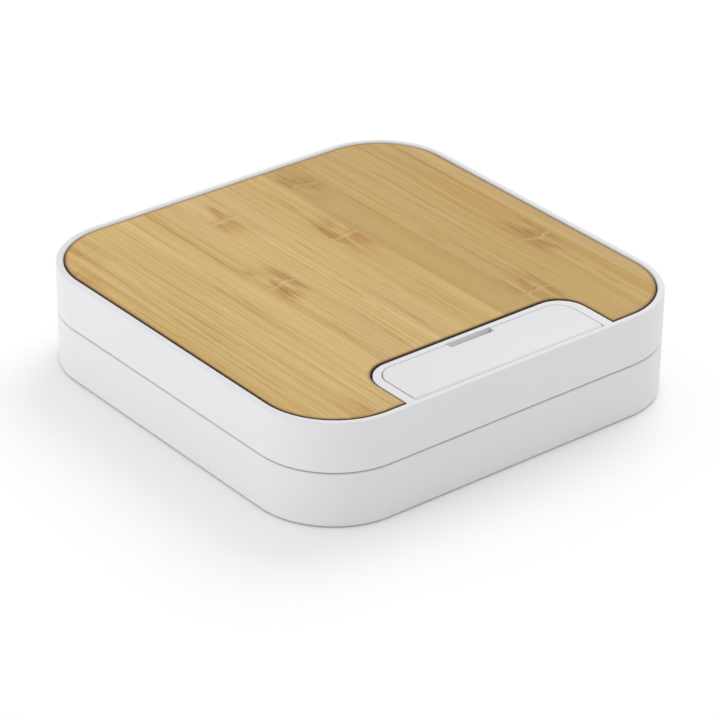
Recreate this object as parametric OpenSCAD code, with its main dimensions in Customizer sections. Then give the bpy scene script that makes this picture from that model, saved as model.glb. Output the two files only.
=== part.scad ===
// Square charging pad: two hinged halves, a bamboo top and a folding ledge for a phone.
// Millimetres. X is the width, Y the depth with the ledge at the front (-Y), Z is up.

/* [Body] */
// Outer width and depth
body_w = 100; // [96:1:125]
// Radius of the four upright corners
corner_r = 18; // [14:0.1:20]
// Height of the lower half, without its feet
lower_h = 11.9; // [10:0.05:15]
// Height of the upper half
upper_h = 11.2; // [11.2:0.05:15]
// Gap between the two halves
seam_gap = 0.2; // [0.15:0.05:0.5]
// Height the feet hold the body off the table
foot_lift = 0.3; // [0.2:0.1:1.5]
// Wall thickness of both halves
wall = 2.3; // [2:0.1:2.8]

/* [Bamboo top] */
// Width of the plastic rim round the bamboo's recess
rim_w = 1.55; // [1.4:0.05:1.8]
// Width of the slope on the rim's inner edge
rim_slope = 0.3; // [0.1:0.05:0.4]
// Thickness of the bamboo plate
wood_t = 2; // [1.5:0.1:2.5]
// Gap between the bamboo and its recess
wood_gap = 0.2; // [0.15:0.05:0.6]
// Thickness of the adhesive sheet
glue_t = 0.2; // [0.1:0.05:0.3]
// Width of the notch in the bamboo
notch_w = 54; // [44:0.1:60]
// Depth of the notch from the body's front face
notch_d = 16.9; // [15:0.1:22]
// Radius of the notch's two inner corners
notch_r = 6.5; // [4:0.1:8]

// Gap between the notch's two sides and the white frame
side_gap = 0.15; // [0.15:0.05:0.5]
// Gap between the notch's back edge and the white frame
back_gap = 0.55; // [0.3:0.05:0.8]
// Height of the rim above the white frame and the ledge
frame_drop = 0.2; // [0:0.05:0.3]

/* [Ledge] */
// Thickness of the ledge
ledge_t = 3; // [2.6:0.1:3.2]
// Width of the white frame between the notch and the ledge
frame_w = 2.35; // [2:0.05:4]
// Gap round the ledge
ledge_gap = 0.22; // [0.2:0.01:0.4]
// Width of the finger recess
finger_w = 11.5; // [8:0.5:16]
// Depth of the finger recess, front to back
finger_d = 1.3; // [1.2:0.1:2.5]
// Reach of the finger recess into the white frame
finger_slope = 0.3; // [0.3:0.05:0.7]

/* [Main hinge] */
// Radius of the hinge knuckles
knuckle_r = 3; // [2.8:0.1:3.1]
// Distance of each hinge from the middle
hinge_x = 22; // [21:0.5:24]
// Length of an upper knuckle
upper_knuckle = 10; // [8:0.5:11]
// Length of a lower knuckle
lower_knuckle = 5; // [4:0.5:5.5]
// Radius of the hinge pin
pin_r = 1; // [0.9:0.05:1.1]
// Slope of each half behind the hinge, which stops the upper half
relief_angle = 28; // [26:1:30]

/* [Charging parts] */
// Radius of the charging coil
coil_r = 21.5; // [18:0.5:22]
// Thickness of the circuit board
board_t = 1; // [0.8:0.1:1.2]
// Width of the circuit board
board_w = 20; // [18:0.5:20.5]

/* [Hidden] */
$fn = 64;
eps = 0.01;
h = body_w / 2;
core = h - corner_r;
lower_z = foot_lift;
lower_top = lower_z + lower_h;
seam_z = lower_top + seam_gap / 2;
upper_z = lower_top + seam_gap;
top_z = upper_z + upper_h;
wood_top = top_z - 0.1;
wood_z = wood_top - wood_t;
recess_z = wood_z - glue_t;
deck_t = 1.6;
deck_z = recess_z - deck_t;
edge_soft = 0.45;
base_soft = 0.4;
rim_soft = 0.5;

// Bamboo and frame outlines
recess_w = body_w - 2 * rim_w;
wood_w = recess_w - 2 * wood_gap;
notch_back = -h + notch_d;
frame_top = top_z - frame_drop;
frame_in = -h + rim_w - rim_slope;
ledge_w = notch_w - 2 * frame_w - 2 * ledge_gap;
ledge_back = notch_back - frame_w + ledge_gap;
ledge_corner = notch_r - frame_w;
bar_r = ledge_t / 2;
pocket_front = frame_in;
ledge_y = pocket_front + 0.2 + bar_r;
ledge_z = frame_top - bar_r;
pocket_z = frame_top - ledge_t - 0.35;
finger_h = 1.6;
edge_cut = 0.12;
spring_r = 0.65;
tip_r = 0.4;
tip_reach = ledge_w / 2 + ledge_gap + 1;

// Hinge
hinge_y = h - knuckle_r - 0.2;
knuckle_gap = 0.3;
hinge_bar = 8.6;
relief_start = hinge_y - 0.3;
bush_r = 1.6;
hinge_half = upper_knuckle / 2 + knuckle_gap + lower_knuckle;

// Upper hollow
hollow_w = body_w - 2 * wall + 0.2;
hollow_d = hollow_w / 2 + h - hinge_bar;
hollow_y = (h - hinge_bar - hollow_w / 2) / 2;
hollow_r = corner_r - wall + 0.1;
cover_t = 1.6;
cover_z = upper_z + 0.2;
cover_top = cover_z + cover_t;
cover_screws = [[h - 12, h - 17], [12 - h, h - 17], [h - 12, 19 - h], [12 - h, 19 - h]];
magnet_r = 2.5;
magnet_h = 2;
magnet_boss = 4;
magnet_xy = core + (corner_r - wall - 3.1) * sqrt(0.5);

// Charging parts
coil_y = 6;
coil_in = 10;
coil_t = 1.2;
coil_z = deck_z - 0.1 - coil_t;
ferrite_t = 0.8;
ferrite_z = coil_z - ferrite_t;
holder_t = 0.8;
holder_z = ferrite_z - holder_t;
holder_r = coil_r + 2.3;
lug_r = 2.6;
lug_at = holder_r + 2.7;
lug_t = 1;
board_z = cover_top + 1.05;
board_top = board_z + board_t;
board_d = 50;
board_x = h - 3.5 - board_w / 2;
board_y = -1;
board_screws = [[board_x - board_w / 2 + 2.6, board_y - 22], [board_x + board_w / 2 - 2.6, board_y + 22]];
lug_angles = [90, 180, 270];
holder_screws = [for (a = lug_angles) [lug_at * cos(a), coil_y + lug_at * sin(a)]];
socket_w = 8.94;
socket_h = 3.26;
socket_l = 7.3;
socket_y = 10;
socket_z = board_top + socket_h / 2;
light_y = -6;
light_z = board_top + 0.6;
light_r = 1;

// Lower half
tray_floor = lower_z + 5;
floor_t = 1.4;
tray_w = body_w - 2 * wall;
tray_d = tray_w / 2 + h - hinge_bar;
tray_y = (h - hinge_bar - tray_w / 2) / 2;
tray_r = corner_r - wall;
liner_t = 0.8;
well_w = body_w - 8;
well_r = corner_r - 4;
well_top = tray_floor - floor_t;
bottom_t = 2;
bottom_top = lower_z + bottom_t;
foot_xy = h - 13;
foot_r = 5;
foot_seat = 0.7;
bumper_x = 20;
bumper_y = -h + wall + 1;

// ---- Shared shapes ----

module at_corners(d) {
  for (sx = [-1, 1], sy = [-1, 1])
    translate([sx * d, sy * d, 0]) children();
}

module at_sides(x) {
  for (sx = [-1, 1])
    translate([sx * x, 0, 0]) children();
}

module at_points(list) {
  for (p = list)
    translate([p[0], p[1], 0]) children();
}

module rounded2(wx, wy, r) {
  square([wx - 2 * r, wy], center = true);
  square([wx, wy - 2 * r], center = true);
  for (sx = [-1, 1], sy = [-1, 1])
    translate([sx * (wx / 2 - r), sy * (wy / 2 - r)]) circle(r);
}

// Outline with two round corners at the back, open to the front
module bay2(w, front, back, r) {
  translate([-w / 2, front]) square([w, back - r - front]);
  translate([-w / 2 + r, front]) square([w - 2 * r, back - front]);
  for (sx = [-1, 1])
    translate([sx * (w / 2 - r), back - r]) circle(r);
}

// Bevel round the top edge of a bay, cut up and outwards from z = 0
module bay_bevel(w, front, back, r, c) {
  side = [[w / 2 - r, 0], [w / 2, 0], [w / 2 + c, c], [w / 2 - r, c]];
  for (s = [-1, 1])
    translate([s * (w / 2 - r), back - r, 0]) cylinder(r1 = r, r2 = r + c, h = c);
  for (a = [0, 180])
    translate([0, (front + back - r) / 2, 0]) rotate([90, 0, a])
      linear_extrude(back - r - front, center = true) polygon(side);
  translate([0, back - r, 0]) rotate([90, 0, 90])
    linear_extrude(w - 2 * r, center = true) polygon([[0, 0], [r, 0], [r + c, c], [0, c]]);
}

module slot2(w, t) {
  square([w - t, t], center = true);
  for (s = [-1, 1])
    translate([s * (w - t) / 2, 0]) circle(t / 2);
}

module edge_profile(r, ht, low, high) {
  square([r - max(low, high), ht]);
  square([r - low, ht - high]);
  translate([0, low]) square([r, ht - low - high]);
  translate([0, low]) square([r - high, ht - low]);
  intersection() {
    translate([r - low, low]) circle(low);
    square([r, low]);
  }
  intersection() {
    translate([r - high, ht - high]) circle(high);
    translate([0, ht - high]) square([r, high]);
  }
}

// Square block with round corners and soft top and bottom edges
module soft_block(w, r, ht, low, high) {
  s = w - 2 * r;
  at_corners(s / 2)
    rotate_extrude() edge_profile(r, ht, low, high);
  for (a = [0, 90, 180, 270])
    rotate([0, 0, a]) translate([0, s / 2, 0]) rotate([90, 0, 90])
      linear_extrude(s, center = true) edge_profile(r, ht, low, high);
  linear_extrude(ht) square([s, s], center = true);
}

// A rod along X between two x values, at a given y and z
module rod(x0, x1, y, z, r) {
  translate([x0, y, z]) rotate([0, 90, 0]) cylinder(r = r, h = x1 - x0);
}

module hinge_rod(x0, x1, r) {
  for (s = [-1, 1])
    rod(s > 0 ? x0 : -x1, s > 0 ? x1 : -x0, hinge_y, seam_z, r);
}

module lower_knuckles(grow, r) {
  near = hinge_x - hinge_half;
  far = hinge_x + upper_knuckle / 2 + knuckle_gap;
  hinge_rod(near - grow, near + lower_knuckle + grow, r);
  hinge_rod(far - grow, far + lower_knuckle + grow, r);
}

module upper_knuckles(grow, r) {
  hinge_rod(hinge_x - upper_knuckle / 2 - grow, hinge_x + upper_knuckle / 2 + grow, r);
}

// Wedge taken off a half behind the hinge, so that the upper half can tip back
module relief(z, up) {
  run = 6;
  rise = up * run * tan(relief_angle);
  rotate([90, 0, 90]) linear_extrude(body_w + 2, center = true)
    polygon([[relief_start, z - up], [relief_start, z], [relief_start + run, z + rise],
      [relief_start + run, z - up]]);
}

// Channel that the two hinge pins are slid in from
module pin_channel() {
  rod(hinge_half - hinge_x - eps, hinge_x - hinge_half + eps, hinge_y, seam_z, pin_r + 0.2);
}

module ring(r_out, r_in, ht) {
  rotate_extrude() translate([r_in, 0]) square([r_out - r_in, ht]);
}

// Flat-headed screw, head down, its head's face at z = 0
module flat_screw(len) {
  cylinder(r1 = 1.9, r2 = 0.85, h = 0.9);
  translate([0, 0, 0.9]) cylinder(r = 0.85, h = len - 0.9);
}

module screw_seat(depth) {
  translate([0, 0, -eps]) cylinder(r1 = 2.05, r2 = 1.05, h = 0.95);
  cylinder(r = 1.05, h = depth + 1);
}

// ---- Lower half ----

module base_solid() {
  difference() {
    translate([0, 0, lower_z]) soft_block(body_w, corner_r, lower_h, base_soft, edge_soft);
    translate([0, tray_y, tray_floor]) linear_extrude(lower_h) rounded2(tray_w, tray_d, tray_r);
    translate([0, 0, lower_z - 1]) linear_extrude(well_top - lower_z + 1)
      rounded2(well_w, well_w, well_r);
    relief(lower_top, -1);
  }
  at_corners(foot_xy) translate([0, 0, bottom_top])
    cylinder(r = 2.8, h = well_top - bottom_top + 0.5);
  at_sides(magnet_xy) translate([0, -magnet_xy, tray_floor - 0.5])
    cylinder(r = magnet_boss, h = lower_top - tray_floor + 0.5);
  at_sides(bumper_x) translate([0, bumper_y, tray_floor - 0.5])
    cylinder(r = 1.9, h = lower_top - tray_floor + 0.5);
}

module base_shell() {
  color("white") difference() {
    union() {
      difference() {
        base_solid();
        upper_knuckles(knuckle_gap, knuckle_r + 0.3);
        pin_channel();
      }
      lower_knuckles(0, knuckle_r);
    }
    hinge_rod(hinge_x - hinge_half - 1, hinge_x + hinge_half - 0.6, pin_r + 0.02);
    at_corners(foot_xy) translate([0, 0, bottom_top - 1])
      cylinder(r = 0.9, h = tray_floor - 0.4 - bottom_top + 1);
    at_sides(magnet_xy) translate([0, -magnet_xy, lower_top - 0.2 - magnet_h])
      cylinder(r = magnet_r + 0.05, h = magnet_h + 1);
    at_sides(bumper_x) translate([0, bumper_y, lower_top - 1])
      cylinder(r = 1.25, h = 2);
  }
}

module tray_liner() {
  color("dimgray") translate([0, 0, tray_floor]) linear_extrude(liner_t) difference() {
    translate([0, tray_y]) rounded2(tray_w - 0.6, tray_d - 0.6, tray_r - 0.3);
    for (s = [-1, 1]) translate([s * magnet_xy, -magnet_xy]) circle(magnet_boss + 0.3);
    for (s = [-1, 1]) translate([s * bumper_x, bumper_y]) circle(2.2);
  }
}

module ballast_plate() {
  color("silver") translate([0, 0, bottom_top]) linear_extrude(well_top - bottom_top)
    rounded2(well_w - 8, 2 * foot_xy - 10, 4);
}

module bottom_cover() {
  color("whitesmoke") difference() {
    translate([0, 0, lower_z]) linear_extrude(bottom_t) rounded2(well_w - 0.4, well_w - 0.4, well_r - 0.2);
    at_corners(foot_xy) translate([0, 0, lower_z - 1]) cylinder(r = foot_r + 0.1, h = foot_seat + 1);
    at_corners(foot_xy) translate([0, 0, lower_z + foot_seat]) screw_seat(bottom_t);
  }
}

module base_screws() {
  color("silver") at_corners(foot_xy) translate([0, 0, lower_z + foot_seat])
    flat_screw(tray_floor - 0.5 - lower_z - foot_seat);
}

module rubber_feet() {
  color("darkgray") at_corners(foot_xy) cylinder(r = foot_r, h = foot_lift + foot_seat);
}

module base_magnets() {
  color("silver") at_sides(magnet_xy) translate([0, -magnet_xy, lower_top - 0.2 - magnet_h])
    cylinder(r = magnet_r, h = magnet_h);
}

module bumpers() {
  color("lightgray") at_sides(bumper_x) translate([0, bumper_y, lower_top - 1])
    cylinder(r = 1.2, h = 1 + seam_gap - 0.08);
}

module hinge_pins() {
  color("silver") hinge_rod(hinge_x - hinge_half + 0.7, hinge_x + hinge_half - 0.9, pin_r);
}

// ---- Upper half ----

module wood_outline(w, r) {
  difference() {
    rounded2(w, w, r);
    bay2(notch_w, -body_w, notch_back, notch_r);
  }
}

module boss(z, r) {
  translate([0, 0, z]) cylinder(r = r, h = deck_z - z + 0.5);
}

// Slope round the inner edge of the rim, left out at the notch
module rim_cut() {
  rise = rim_slope + 0.2;
  side = recess_w / 2;
  difference() {
    translate([0, 0, top_z - rim_slope]) union() {
      for (x = [-1, 1], y = [-1, 1]) translate([x * core, y * core, 0])
        cylinder(r1 = side - core, r2 = side - core + rise, h = rise);
      for (a = [0, 90]) rotate([0, 0, a]) rotate([90, 0, 0])
        linear_extrude(2 * core, center = true)
          polygon([[-side, 0], [side, 0], [side + rise, rise], [-side - rise, rise]]);
    }
    translate([0, 0, top_z - 1]) linear_extrude(2)
      bay2(notch_w - 2 * side_gap, -body_w, notch_back - back_gap, notch_r - side_gap);
  }
}

module lid_solid() {
  difference() {
    translate([0, 0, upper_z]) soft_block(body_w, corner_r, upper_h, edge_soft, rim_soft);
    translate([0, hollow_y, upper_z - 1]) linear_extrude(deck_z - upper_z + 1)
      rounded2(hollow_w, hollow_d, hollow_r);
    translate([0, 0, recess_z]) linear_extrude(upper_h) difference() {
      rounded2(recess_w, recess_w, corner_r - rim_w);
      bay2(notch_w - 2 * side_gap, -h, notch_back - back_gap, notch_r - side_gap);
    }
    translate([0, 0, frame_top]) linear_extrude(upper_h)
      bay2(notch_w + 1, frame_in, notch_back + 1, notch_r);
    rim_cut();
    relief(upper_z, 1);
  }
  // Floor under the ledge
  translate([0, (notch_back - h + 1.5) / 2, pocket_z - 1.55]) linear_extrude(deck_z - pocket_z + 2)
    square([notch_w + 2, notch_d - 1.5], center = true);
  at_points(cover_screws) boss(cover_top, 3);
  at_points(board_screws) boss(board_top, 2.2);
  at_points(holder_screws) boss(holder_z + lug_t, 2.2);
  at_sides(magnet_xy) translate([0, -magnet_xy, 0]) boss(upper_z, magnet_boss);
}

// Slope that carries the finger recess on into the frame
module finger_scoop() {
  translate([0, ledge_back + ledge_gap, frame_top - 1.4]) rotate([90, 0, 90])
    linear_extrude(finger_w, center = true)
      polygon([[-0.5, 0], [0, 0], [finger_slope, 1.4], [finger_slope, 2], [-0.5, 2]]);
}

module lid_shell() {
  color("white") difference() {
    union() {
      difference() {
        lid_solid();
        lower_knuckles(knuckle_gap, knuckle_r + 0.3);
        pin_channel();
      }
      upper_knuckles(0, knuckle_r);
    }
    upper_knuckles(1, bush_r + 0.02);
    translate([0, 0, pocket_z]) linear_extrude(ledge_t + 2)
      bay2(ledge_w + 2 * ledge_gap, pocket_front, ledge_back + ledge_gap, ledge_corner + ledge_gap);
    translate([0, 0, frame_top - edge_cut])
      bay_bevel(ledge_w + 2 * ledge_gap, pocket_front, ledge_back + ledge_gap,
        ledge_corner + ledge_gap, edge_cut);
    finger_scoop();
    rod(-tip_reach - 0.2, tip_reach + 0.2, ledge_y, ledge_z, tip_r + 0.06);
    at_points(cover_screws) translate([0, 0, cover_top - 1]) cylinder(r = 0.9, h = deck_z - cover_top);
    at_points(board_screws) translate([0, 0, board_top - 1]) cylinder(r = 0.7, h = 3.9);
    at_points(holder_screws) translate([0, 0, holder_z]) cylinder(r = 0.7, h = 4.2);
    at_sides(magnet_xy) translate([0, -magnet_xy, upper_z - 1])
      cylinder(r = magnet_r + 0.05, h = magnet_h + 1.2);
    translate([h - wall - 1, socket_y, socket_z]) rotate([90, 0, 90])
      linear_extrude(wall + 2) slot2(socket_w + 0.3, socket_h + 0.3);
    rod(h - wall - 1, h + 1, light_y, light_z, light_r + 0.05);
  }
}

module adhesive_sheet() {
  color("gainsboro") translate([0, 0, recess_z]) linear_extrude(glue_t) difference() {
    rounded2(wood_w - 2, wood_w - 2, corner_r - rim_w - 1);
    bay2(notch_w + 2, -body_w, notch_back + 1, notch_r + 1);
  }
}

module bamboo_top() {
  color("burlywood") translate([0, 0, wood_z]) linear_extrude(wood_t)
    wood_outline(wood_w, corner_r - rim_w - wood_gap);
}

module lid_cover() {
  color("whitesmoke") difference() {
    translate([0, 0, cover_z]) linear_extrude(cover_t) difference() {
      translate([0, hollow_y]) rounded2(hollow_w - 0.4, hollow_d - 0.4, hollow_r - 0.2);
      for (s = [-1, 1]) translate([s * magnet_xy, -magnet_xy]) circle(magnet_boss + 0.3);
    }
    at_points(cover_screws) translate([0, 0, cover_z]) screw_seat(cover_t);
  }
}

module lid_screws() {
  color("silver") at_points(cover_screws) translate([0, 0, cover_z])
    flat_screw(cover_t + deck_z - cover_top - 1.2);
}

module lid_magnets() {
  color("silver") at_sides(magnet_xy) translate([0, -magnet_xy, upper_z + 0.2])
    cylinder(r = magnet_r, h = magnet_h);
}

module friction_sleeves() {
  color("black") difference() {
    upper_knuckles(-0.1, bush_r);
    upper_knuckles(1, pin_r + 0.04);
  }
}

// ---- Charging parts ----

module charging_coil() {
  drop_x = board_x - board_w / 2 + 1.2;
  color("peru") {
    translate([0, coil_y, coil_z]) ring(coil_r, coil_in, coil_t);
    for (s = [-1, 1]) {
      rod(coil_r - 1.2, drop_x, coil_y + s * 2, coil_z + coil_t / 2, 0.4);
      translate([drop_x, coil_y + s * 2, coil_z + coil_t / 2]) sphere(0.4);
      translate([drop_x, coil_y + s * 2, board_top]) cylinder(r = 0.4, h = coil_z + coil_t / 2 - board_top);
    }
  }
}

module ferrite_disc() {
  color("darkslategray") translate([0, coil_y, ferrite_z]) cylinder(r = coil_r + 0.5, h = ferrite_t);
}

module coil_holder() {
  color("gray") difference() {
    union() {
      translate([0, coil_y, holder_z]) cylinder(r = holder_r, h = holder_t);
      translate([0, coil_y, holder_z]) ring(holder_r, coil_r + 1, deck_z - holder_z);
      for (a = lug_angles)
        translate([0, coil_y, holder_z]) rotate([0, 0, a]) linear_extrude(lug_t) {
          translate([holder_r - 1, -lug_r]) square([lug_at - holder_r + 1, 2 * lug_r]);
          translate([lug_at, 0]) circle(lug_r);
        }
    }
    at_points(holder_screws) translate([0, 0, holder_z - 1]) cylinder(r = 0.9, h = lug_t + 2);
    // Lightening holes in the floor
    for (a = [45:90:315])
      translate([0, coil_y, holder_z - 1]) rotate([0, 0, a]) translate([13, 0, 0])
        cylinder(r = 4, h = holder_t + 1);
    // Way out for the coil's two leads
    translate([coil_r, coil_y - 3, ferrite_z + ferrite_t]) cube([4, 6, 4]);
  }
}

module circuit_board() {
  color("darkgreen") difference() {
    translate([board_x, board_y, board_z]) linear_extrude(board_t) rounded2(board_w, board_d, 1.5);
    at_points(board_screws) translate([0, 0, board_z - 1]) cylinder(r = 0.9, h = board_t + 2);
  }
}

module on_board(x, y, size) {
  translate([board_x + x - size[0] / 2, board_y + y - size[1] / 2, board_top]) cube(size);
}

module control_chip() {
  color("black") on_board(0, -1, [6, 6, 0.9]);
}

module power_inductor() {
  color("dimgray") on_board(2, -13.5, [7, 7, 2.6]);
}

module capacitors() {
  color("tan") for (k = [0:2])
    on_board(-6.3, -11 - 3.6 * k, [3.2, 2.5, 1.6]);
}

module thermal_pad() {
  color("lightblue") translate([board_x, board_y, cover_top]) linear_extrude(board_z - cover_top)
    rounded2(14, 20, 1);
}

module small_screw(z) {
  translate([0, 0, z - 0.9]) cylinder(r = 1.4, h = 0.9);
  translate([0, 0, z - eps]) cylinder(r = 0.65, h = 3.6);
}

module small_screws() {
  color("silver") {
    at_points(board_screws) small_screw(board_z);
    at_points(holder_screws) small_screw(holder_z);
  }
}

module charging_socket() {
  back = h - 0.3 - socket_l;
  color("silver") translate([back, socket_y, socket_z]) rotate([90, 0, 90]) {
    difference() {
      linear_extrude(socket_l) slot2(socket_w, socket_h);
      translate([0, 0, 1]) linear_extrude(socket_l) slot2(socket_w - 0.6, socket_h - 0.6);
    }
    linear_extrude(socket_l - 0.8) square([6.7, 0.7], center = true);
  }
}

module status_led() {
  color("lightyellow") translate([h - 5.2, light_y - 0.8, board_top]) cube([1.4, 1.6, 1.1]);
}

module light_pipe() {
  color("white") {
    rod(h - 3.4, h - 0.1, light_y, light_z, light_r);
    rod(h - 3.4, h - wall - 0.2, light_y, light_z, light_r + 0.5);
  }
}

// ---- Ledge ----

module ledge() {
  color("white") difference() {
    union() {
      rod(-ledge_w / 2, ledge_w / 2, ledge_y, ledge_z, bar_r);
      translate([0, 0, ledge_z - bar_r]) linear_extrude(ledge_t)
        bay2(ledge_w, ledge_y, ledge_back, ledge_corner);
    }
    rod(-ledge_w, ledge_w, ledge_y, ledge_z, spring_r + 0.03);
    translate([0, ledge_back - finger_d / 2 + 1, frame_top - finger_h]) linear_extrude(finger_h + 1)
      square([finger_w, finger_d + 2], center = true);
    translate([0, (ledge_y + ledge_back) / 2, ledge_z - bar_r - 1]) linear_extrude(1.6)
      rounded2(ledge_w - 7, ledge_back - ledge_y - 4.2, 1.2);
  }
}

module ledge_pad() {
  color("silver") translate([0, (ledge_y + ledge_back) / 2, ledge_z - bar_r]) linear_extrude(0.6)
    rounded2(ledge_w - 7.2, ledge_back - ledge_y - 4.4, 1.1);
}

module spring_bar() {
  color("silver") {
    rod(-ledge_w / 2 + 0.8, ledge_w / 2 - 0.8, ledge_y, ledge_z, spring_r);
    rod(-tip_reach, tip_reach, ledge_y, ledge_z, tip_r);
  }
}

base_shell();
tray_liner();
ballast_plate();
bottom_cover();
base_screws();
rubber_feet();
base_magnets();
bumpers();
hinge_pins();
lid_shell();
adhesive_sheet();
bamboo_top();
lid_cover();
lid_screws();
lid_magnets();
friction_sleeves();
charging_coil();
ferrite_disc();
coil_holder();
circuit_board();
control_chip();
power_inductor();
capacitors();
thermal_pad();
small_screws();
charging_socket();
status_led();
light_pipe();
ledge();
ledge_pad();
spring_bar();
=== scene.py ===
"""Finished look of a square charging pad: bamboo top, two hinged white halves and a fold-out ledge.

Each piece has its own operator, and the panel in the sidebar lists them in the order they are made.
All sizes are in metres, in the same place as the frame that is loaded first.
"""

import math

import bmesh
import bpy
from bpy.props import FloatProperty, FloatVectorProperty, IntProperty, PointerProperty
from bpy.types import Operator, Panel, PropertyGroup
from mathutils import Matrix, Vector


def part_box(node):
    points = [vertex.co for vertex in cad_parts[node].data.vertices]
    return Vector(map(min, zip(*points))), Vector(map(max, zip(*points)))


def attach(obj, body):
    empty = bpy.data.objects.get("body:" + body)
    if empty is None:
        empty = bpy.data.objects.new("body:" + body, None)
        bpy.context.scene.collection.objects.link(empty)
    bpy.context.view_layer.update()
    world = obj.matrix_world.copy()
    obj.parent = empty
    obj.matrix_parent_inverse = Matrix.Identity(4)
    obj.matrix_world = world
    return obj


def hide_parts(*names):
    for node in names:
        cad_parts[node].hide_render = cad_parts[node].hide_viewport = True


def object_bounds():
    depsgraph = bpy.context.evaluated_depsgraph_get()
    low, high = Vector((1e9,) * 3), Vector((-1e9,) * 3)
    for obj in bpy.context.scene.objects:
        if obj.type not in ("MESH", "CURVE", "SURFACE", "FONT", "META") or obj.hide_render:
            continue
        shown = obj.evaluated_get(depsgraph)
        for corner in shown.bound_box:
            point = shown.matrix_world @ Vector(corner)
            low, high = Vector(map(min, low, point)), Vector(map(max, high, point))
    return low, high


bl_info = {
    "name": "Bamboo charging pad",
    "version": (1, 0, 0),
    "blender": (4, 5, 0),
    "location": "3D View > Sidebar > Charging Pad",
    "description": "Models the pad's pieces, their finishes and a plain studio",
    "category": "Object",
}

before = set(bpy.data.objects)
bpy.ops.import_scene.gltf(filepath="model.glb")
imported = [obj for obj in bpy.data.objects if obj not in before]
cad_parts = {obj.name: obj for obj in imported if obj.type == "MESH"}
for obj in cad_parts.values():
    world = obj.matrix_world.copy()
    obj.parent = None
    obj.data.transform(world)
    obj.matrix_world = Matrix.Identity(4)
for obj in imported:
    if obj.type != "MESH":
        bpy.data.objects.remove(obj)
CAD_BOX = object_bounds()

MM = 0.001
SIZE_MARGIN = 0.3 * MM


# ---------------------------------------------------------------- places taken from the frame

WOOD_LOW, WOOD_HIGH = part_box("bamboo_top")
LEDGE_LOW, LEDGE_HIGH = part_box("ledge")
PAD_LOW, PAD_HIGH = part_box("ledge_pad")
FLOOR_Z = CAD_BOX[0].z


# ---------------------------------------------------------------- sizes and colours

def length_property(name, description, millimetres):
    """A length on the panel, given in millimetres and held in metres."""
    return FloatProperty(name=name, description=description, default=millimetres * MM, unit="LENGTH")


def colour_property(name, description, red, green, blue):
    """A linear colour on the panel."""
    return FloatVectorProperty(
        name=name, description=description, default=(red, green, blue), subtype="COLOR", size=3)


class PadSizes(PropertyGroup):
    """Sizes that the frame doesn't hold."""

    wood_corner: length_property("Bamboo corner", "Radius of the plate's four corners", 16.25)
    notch_width: length_property("Notch width", "Width of the notch in the bamboo", 54)
    notch_back: length_property("Notch back", "Where the notch ends, from the middle", -33.1)
    notch_corner: length_property("Notch corner", "Radius of the notch's inner corners", 6.5)
    wood_bevel: length_property("Bamboo bevel", "Bevel along the plate's top edge", 0.22)
    ledge_bevel: length_property("Ledge edge", "Softness of the ledge's moulded edges", 0.16)
    ledge_corner: length_property("Ledge corner", "Radius of the ledge's two back corners", 4.15)
    finger_width: length_property("Finger recess", "Width of the recess in the ledge's back edge", 11.5)
    strip_width: length_property("Strip width", "Width of one bamboo strip", 8)


class PadColours(PropertyGroup):
    """Colours of the finishes, linear."""

    plastic: colour_property("White plastic", "Both halves and the ledge", 0.72, 0.715, 0.73)
    bamboo: colour_property("Bamboo", "Middle tone of the strips", 0.612, 0.432, 0.168)
    fibre: colour_property("Fibre", "Darker fibres and streaks", 0.40, 0.225, 0.070)
    burnt: colour_property("Burnt edge", "Edge browned by the cutter", 0.055, 0.026, 0.010)
    felt: colour_property("Felt", "Tray liner", 0.075, 0.077, 0.082)


# ---------------------------------------------------------------- modelling helpers

def select_none():
    """Deselects every object."""
    bpy.ops.object.select_all(action="DESELECT")


def select_only(obj):
    """Deselects everything, then selects and activates one object."""
    if bpy.context.object and bpy.context.object.mode != "OBJECT":
        bpy.ops.object.mode_set(mode="OBJECT")
    select_none()
    obj.hide_viewport = False
    obj.select_set(True)
    bpy.context.view_layer.objects.active = obj


def settle(obj):
    """Puts the object's place into its mesh."""
    select_only(obj)
    bpy.ops.object.transform_apply(location=True, rotation=True, scale=True)
    return obj


def named(name):
    """Names the object that was just added."""
    obj = bpy.context.object
    obj.name = name
    obj.data.name = name
    return obj


def block(name, low, high):
    """A cuboid between two corners, ready to be shaped."""
    low, high = Vector(low), Vector(high)
    select_none()
    bpy.ops.mesh.primitive_cube_add(size=1, location=(low + high) / 2)
    obj = named(name)
    obj.scale = high - low
    return settle(obj)


def drum(name, centre, radius, depth, sides=48, axis="Z"):
    """A cylinder round a centre along one axis, ready to be shaped."""
    turn = {"X": (0, math.pi / 2, 0), "Y": (math.pi / 2, 0, 0), "Z": (0, 0, 0)}[axis]
    select_none()
    bpy.ops.mesh.primitive_cylinder_add(
        vertices=sides, radius=radius, depth=depth, location=centre, rotation=turn)
    return settle(named(name))


def open_mesh(obj):
    """Puts one object in edit mode."""
    select_only(obj)
    bpy.ops.object.mode_set(mode="EDIT")


def close_mesh(obj):
    """Puts the object back in object mode."""
    bpy.ops.object.mode_set(mode="OBJECT")
    return obj


def select_all():
    """Selects the whole mesh, in edit mode."""
    bpy.ops.mesh.select_all(action="SELECT")


def pick(obj, kind, test):
    """Selects the faces, edges or points for which the test is true, in edit mode."""
    mode = {"VERT": (True, False, False), "EDGE": (False, True, False), "FACE": (False, False, True)}
    bpy.context.tool_settings.mesh_select_mode = mode[kind]
    mesh = bmesh.from_edit_mesh(obj.data)
    bpy.ops.mesh.select_all(action="DESELECT")
    for item in {"VERT": mesh.verts, "EDGE": mesh.edges, "FACE": mesh.faces}[kind]:
        item.select_set(bool(test(item)))
    bmesh.update_edit_mesh(obj.data)


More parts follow.
